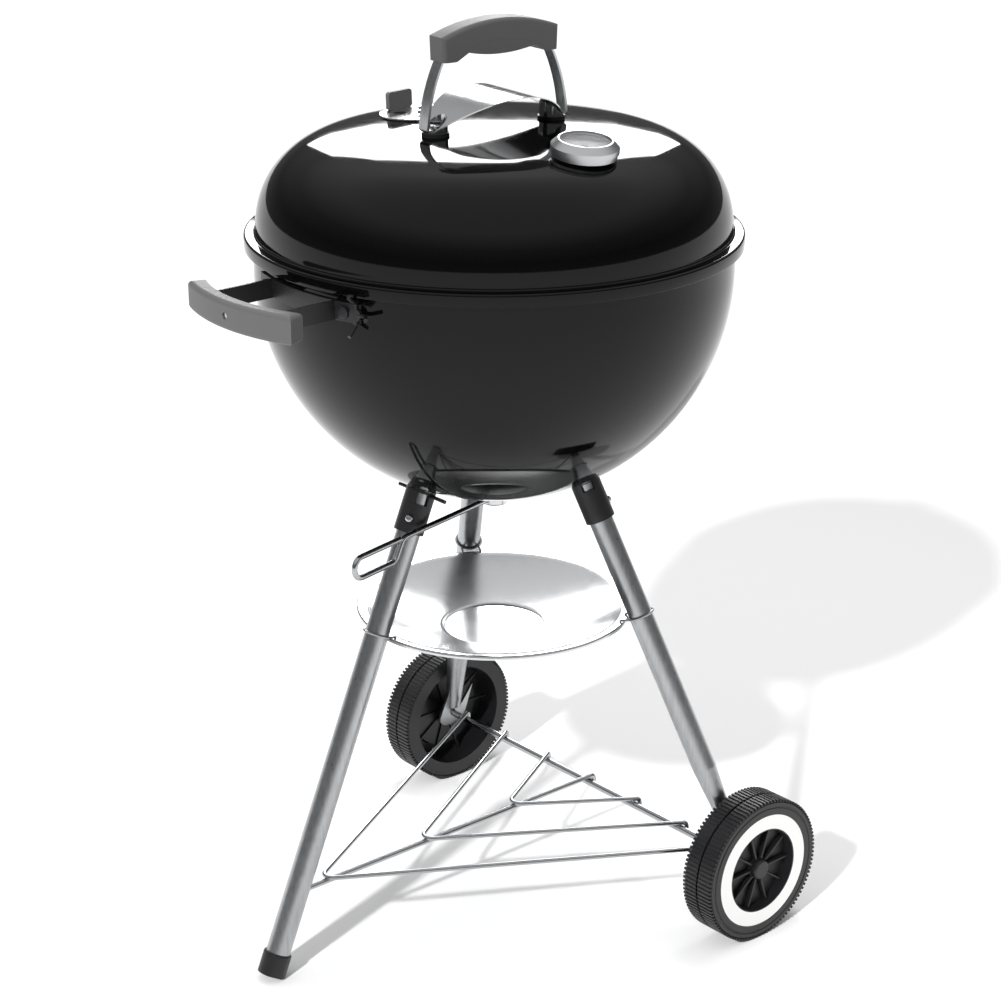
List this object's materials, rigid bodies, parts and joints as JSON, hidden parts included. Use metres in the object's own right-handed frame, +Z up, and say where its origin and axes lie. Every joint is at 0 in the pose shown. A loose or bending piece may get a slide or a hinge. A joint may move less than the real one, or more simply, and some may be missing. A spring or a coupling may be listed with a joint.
{
  "type": "kettle charcoal grill",
  "caption": "Freestanding kettle charcoal grill: round bowl and lift-off domed lid with thermometer and damper, ash sweep and dish, wire rack, and a two-wheeled tripod base.",
  "frame": {"origin": "on the floor, under the middle of the whole object; the kettle's centre line is 39.5 mm behind it on +Y", "axes": "+Z up; the plain front leg and the side handle point along -Y; the wheels turn about X, at the back"},
  "size_m": [0.5488, 0.587, 0.967],
  "materials": {
    "enamel": "gloss black porcelain enamel",
    "leg_steel": "satin aluminised tube",
    "bare_wire": "bright plated wire",
    "grate_steel": "plated rods, slightly dull",
    "dish": "bright spun sheet",
    "strap": "bright stainless strip",
    "black_metal": "black painted strip and wire",
    "shield": "polished stainless sheet",
    "hardware": "plated fasteners",
    "lid_grip_plastic": "dark grey glass-filled nylon",
    "side_grip_plastic": "grey glass-filled nylon",
    "black_plastic": "black polypropylene",
    "wheel_trim": "off-white ring",
    "bezel": "turned stainless",
    "dial_face": "grey dial",
    "needle_black": "black needle",
    "lens": "clear window",
    "damper_metal": "bright pressed disc",
    "tab_plastic": "grey nylon tab"
  },
  "bodies": {
    "frame": {"bowl": "enamel", "grate_tabs": "strap", "charcoal_grate": "grate_steel", "cooking_grate": "grate_steel", "leg_sockets": "leg_steel", "sleeve_front": "black_plastic", "sleeve_right": "black_plastic", "sleeve_left": "black_plastic", "leg_front": "leg_steel", "leg_right": "leg_steel", "leg_left": "leg_steel", "foot_cap": "black_plastic", "axle_plates": "leg_steel", "axle": "bare_wire", "axle_caps": "black_plastic", "rack_spine": "bare_wire", "rack_wire_outer": "bare_wire", "rack_wire_middle": "bare_wire", "rack_wire_inner": "bare_wire", "ash_dish": "dish", "dish_clips": "bare_wire", "shaft_bush": "hardware", "side_bracket": "black_metal", "side_grip": "side_grip_plastic", "bracket_bolts": "black_metal", "bracket_nuts": "hardware", "grip_screw": "hardware", "tool_hook": "black_metal", "stop_rod": "black_metal", "button_springs": "strap"},
    "sweep": {"sweep_lever": "bare_wire", "sweep_hub": "hardware", "sweep_blades": "dish"},
    "lid": {"lid_shell": "enamel", "handle_bow": "strap", "lid_grip": "lid_grip_plastic", "lid_grip_insert": "lid_grip_plastic", "insert_screws": "hardware", "heat_shield": "shield", "handle_spacers": "black_plastic", "handle_bolts": "hardware", "handle_nuts": "hardware", "thermometer_case": "bezel", "thermometer_bezel": "bezel", "thermometer_dial": "dial_face", "thermometer_lens": "lens", "thermometer_nut": "hardware", "damper_rivet": "hardware"},
    "damper": {"damper_disc": "damper_metal", "damper_tab": "tab_plastic"},
    "needle": {"thermometer_needle": "needle_black"},
    "wheel_right": {"wheel_right": "black_plastic", "wheel_trim_right": "wheel_trim"},
    "wheel_left": {"wheel_left": "black_plastic", "wheel_trim_left": "wheel_trim"},
    "button_front": {"snap_button_front": "hardware"},
    "button_right": {"snap_button_right": "hardware"},
    "button_left": {"snap_button_left": "hardware"}
  },
  "joints": [
    {"name": "lid_lift", "type": "slide", "parent": "frame", "child": "lid", "axis": [0, 0, 1], "range_m": [0, 0.3]},
    {"name": "damper_turn", "type": "hinge", "parent": "lid", "child": "damper", "pos_m": [-0.0994, 0.02853, 0.85573], "axis": [-0.0452, -0.005, 0.999], "range_deg": [0, 45]},
    {"name": "needle_turn", "type": "hinge", "parent": "lid", "child": "needle", "pos_m": [0.14589, 0.02853, 0.85259], "axis": [0.1167, -0.0088, 0.9931], "range_deg": [-250, 0]},
    {"name": "sweep_turn", "type": "hinge", "parent": "frame", "child": "sweep", "pos_m": [0, 0.0395, 0.46], "axis": [0, 0, 1], "range_deg": [0, 70]},
    {"name": "wheel_right_spin", "type": "hinge", "parent": "frame", "child": "wheel_right", "pos_m": [0.254, 0.18105, 0.08], "axis": [1, 0, 0], "continuous": true},
    {"name": "wheel_left_spin", "type": "hinge", "parent": "frame", "child": "wheel_left", "pos_m": [-0.254, 0.18105, 0.08], "axis": [1, 0, 0], "continuous": true},
    {"name": "button_front_press", "type": "slide", "parent": "frame", "child": "button_front", "axis": [-0.5736, 0.7538, -0.3207], "range_m": [0, 0.004], "stiffness_N_per_m": 800},
    {"name": "button_right_press", "type": "slide", "parent": "frame", "child": "button_right", "axis": [-0.361, -0.8708, -0.3338], "range_m": [0, 0.004], "stiffness_N_per_m": 800},
    {"name": "button_left_press", "type": "slide", "parent": "frame", "child": "button_left", "axis": [0.9346, 0.1227, -0.3338], "range_m": [0, 0.004], "stiffness_N_per_m": 800}
  ]
}
